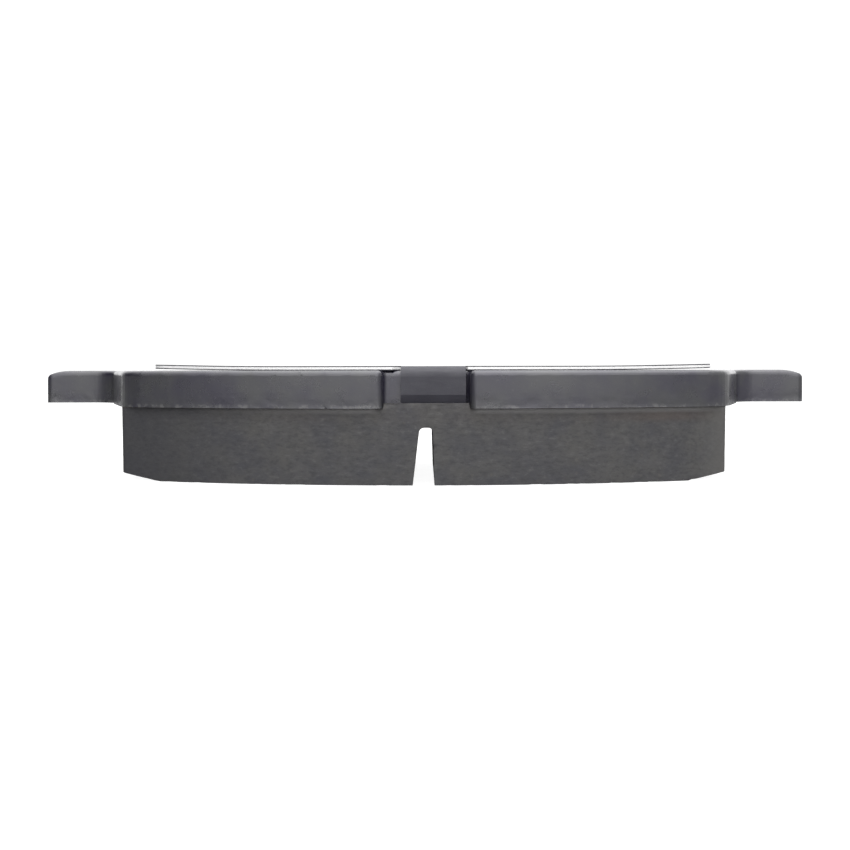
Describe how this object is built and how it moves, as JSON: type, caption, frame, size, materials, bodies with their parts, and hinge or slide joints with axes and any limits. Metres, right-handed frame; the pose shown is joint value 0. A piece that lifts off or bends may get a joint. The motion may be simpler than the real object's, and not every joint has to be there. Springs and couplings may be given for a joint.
{
  "type": "brake pad",
  "caption": "Disc brake pad: eared steel backing plate with a bonded, slotted and end-chamfered friction lining, and a thin clip-on shim that can float sideways in a notch.",
  "frame": {"origin": "bottom centre of the pad's box, on the rotor face of the friction block", "axes": "+X along the pad, +Y from the convex outer edge towards the hub, +Z from the rotor face towards the caliper"},
  "size_m": [0.1306, 0.0498, 0.0176],
  "materials": {
    "coated_steel": "satin",
    "adhesive": "matte",
    "underlayer": "matte",
    "friction_material": "matte",
    "shim_rubber": "matte",
    "shim_steel": "satin"
  },
  "bodies": {
    "pad": {"backing_plate": "coated_steel", "adhesive_film": "adhesive", "underlayer": "underlayer", "friction_block": "friction_material"},
    "shim": {"shim_inner_coat": "shim_rubber", "shim_core": "shim_steel", "shim_outer_coat": "shim_rubber"}
  },
  "joints": [
    {"name": "shim_float", "type": "slide", "parent": "pad", "child": "shim", "axis": [1, 0, 0], "range_m": [-0.00225, 0.00025]}
  ]
}
